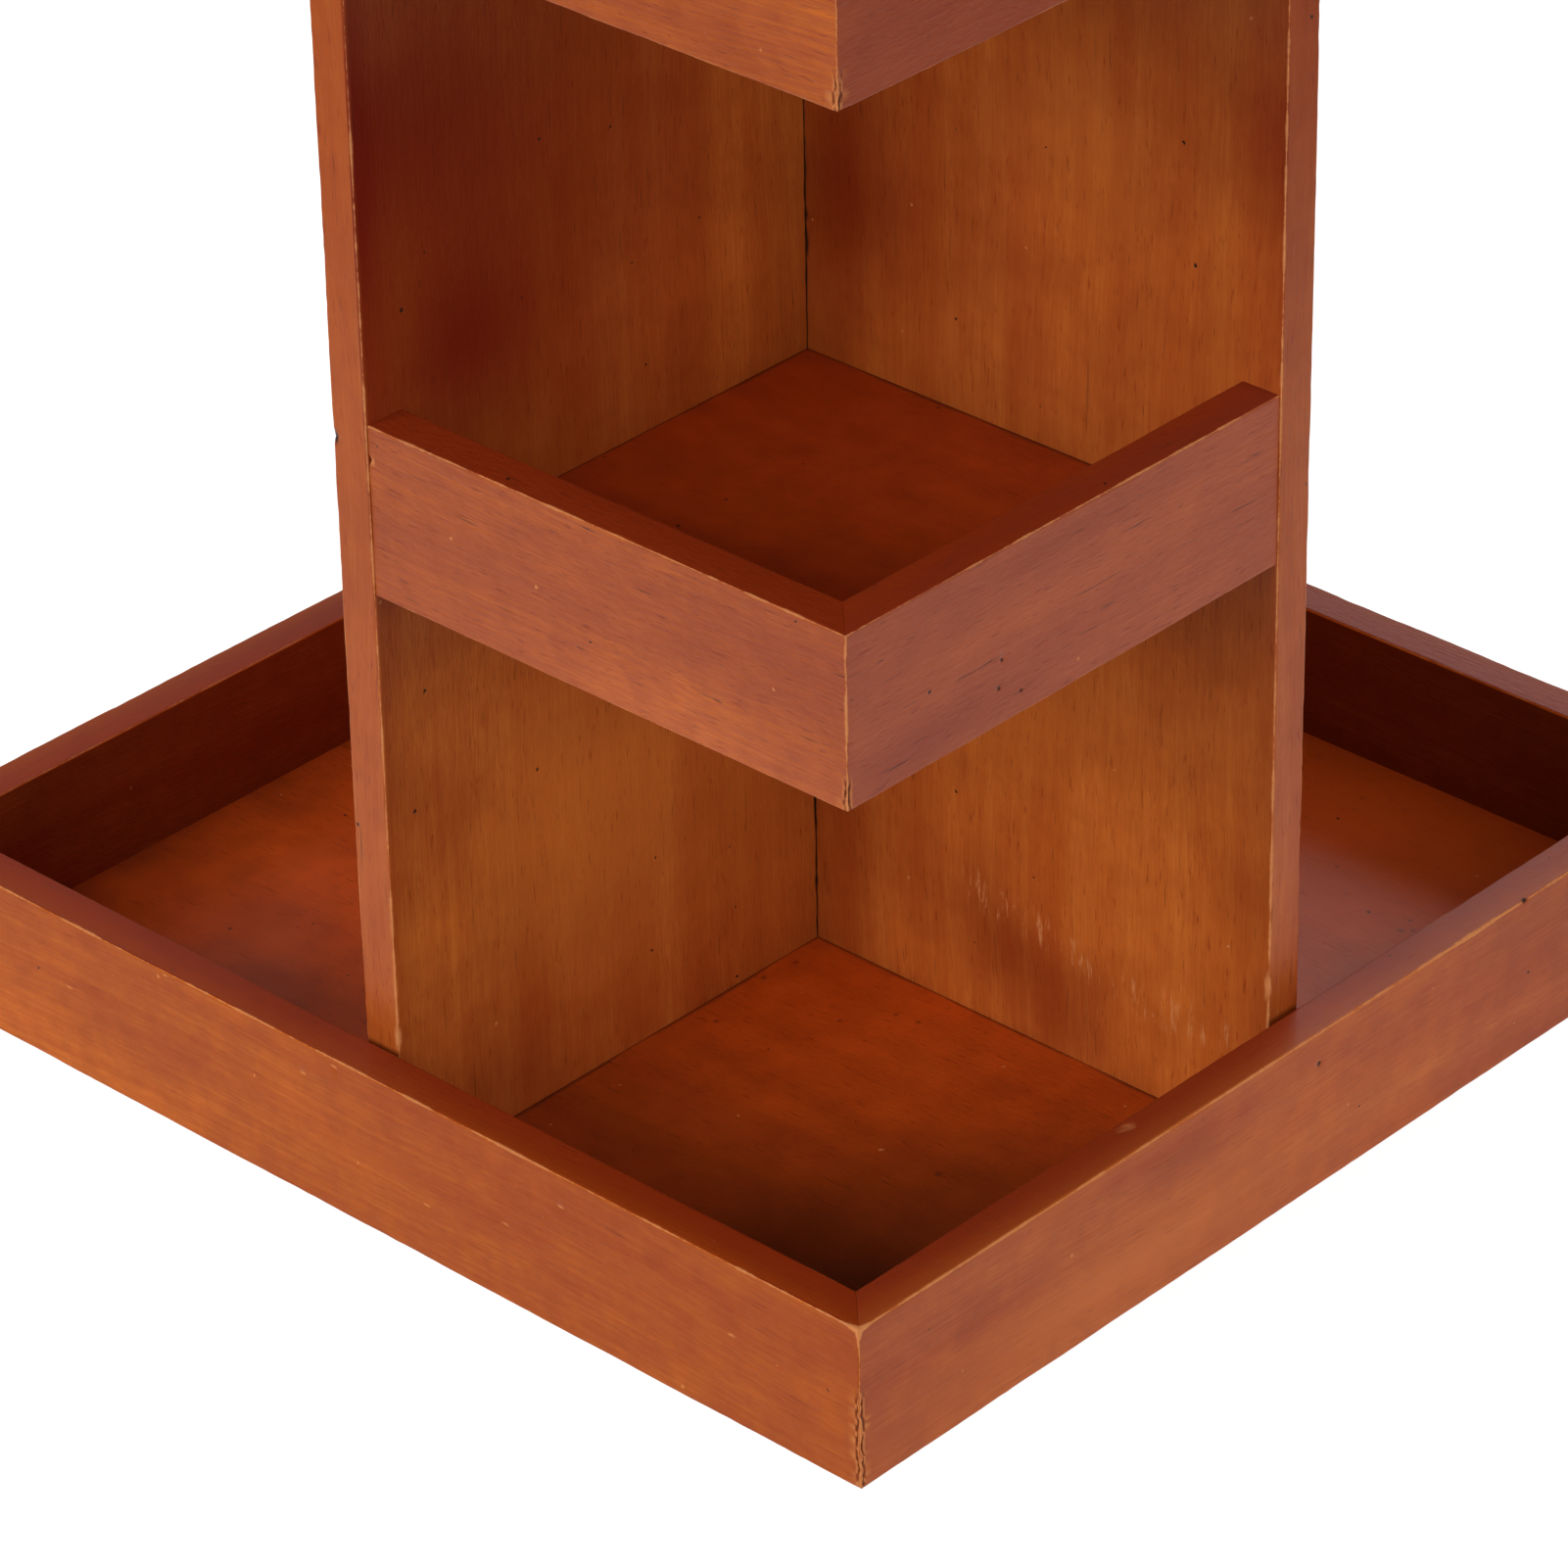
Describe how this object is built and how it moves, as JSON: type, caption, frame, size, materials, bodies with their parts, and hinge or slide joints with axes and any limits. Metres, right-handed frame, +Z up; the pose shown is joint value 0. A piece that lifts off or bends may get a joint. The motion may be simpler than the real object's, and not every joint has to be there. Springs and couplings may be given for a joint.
{
  "type": "lazy susan organizer",
  "caption": "Square wooden turntable tray with a cross of upright boards, corner shelves behind low mitred rails, and a ball bearing on a round footed base.",
  "frame": {"origin": "on the table under the middle of the object", "axes": "+Z up along the spin axis; +X and -Y point at the two sides that meet in the tray's front corner"},
  "size_m": [0.3, 0.3, 0.477],
  "materials": {
    "stained_board": "satin stain over upright grain",
    "stained_wall": "satin stain, edges rubbed pale",
    "stained_floor": "satin stain over thin plywood",
    "base_wood": "satin stain",
    "zinc_steel": "pressed and zinc plated",
    "ball_steel": "polished",
    "screw_steel": "yellow zinc plated",
    "retainer": "moulded",
    "foot_rubber": "matt"
  },
  "bodies": {
    "base": {"base_board": "base_wood", "bearing_lower_plate": "zinc_steel", "bearing_base_screws": "screw_steel", "foot_front_left": "foot_rubber", "foot_front_right": "foot_rubber", "foot_back_right": "foot_rubber", "foot_back_left": "foot_rubber"},
    "ball_ring": {"bearing_balls": "ball_steel", "ball_retainer": "retainer"},
    "turntable": {"bearing_upper_plate": "zinc_steel", "tray_floor": "stained_floor", "bearing_tray_screws": "screw_steel", "divider_screws": "screw_steel", "tray_wall_front_left": "stained_wall", "tray_wall_front_right": "stained_wall", "tray_wall_back_right": "stained_wall", "tray_wall_back_left": "stained_wall", "divider_front_left": "stained_board", "divider_front_right": "stained_board", "divider_back_right": "stained_board", "divider_back_left": "stained_board", "front_lower_shelf_board": "stained_floor", "front_lower_shelf_left_rail": "stained_wall", "front_lower_shelf_right_rail": "stained_wall", "back_lower_shelf_board": "stained_floor", "back_lower_shelf_left_rail": "stained_wall", "back_lower_shelf_right_rail": "stained_wall", "front_upper_shelf_board": "stained_floor", "front_upper_shelf_left_rail": "stained_wall", "front_upper_shelf_right_rail": "stained_wall", "back_upper_shelf_board": "stained_floor", "back_upper_shelf_left_rail": "stained_wall", "back_upper_shelf_right_rail": "stained_wall"}
  },
  "joints": [
    {"name": "turntable_spin", "type": "hinge", "parent": "base", "child": "turntable", "pos_m": [0, 0, 0.017], "axis": [0, 0, 1], "continuous": true},
    {"name": "ball_orbit", "type": "hinge", "parent": "base", "child": "ball_ring", "pos_m": [0, 0, 0.017], "axis": [0, 0, 1], "continuous": true}
  ],
  "couplings": [
    {"joint": "ball_orbit", "follows": "turntable_spin", "ratio": 0.5}
  ]
}
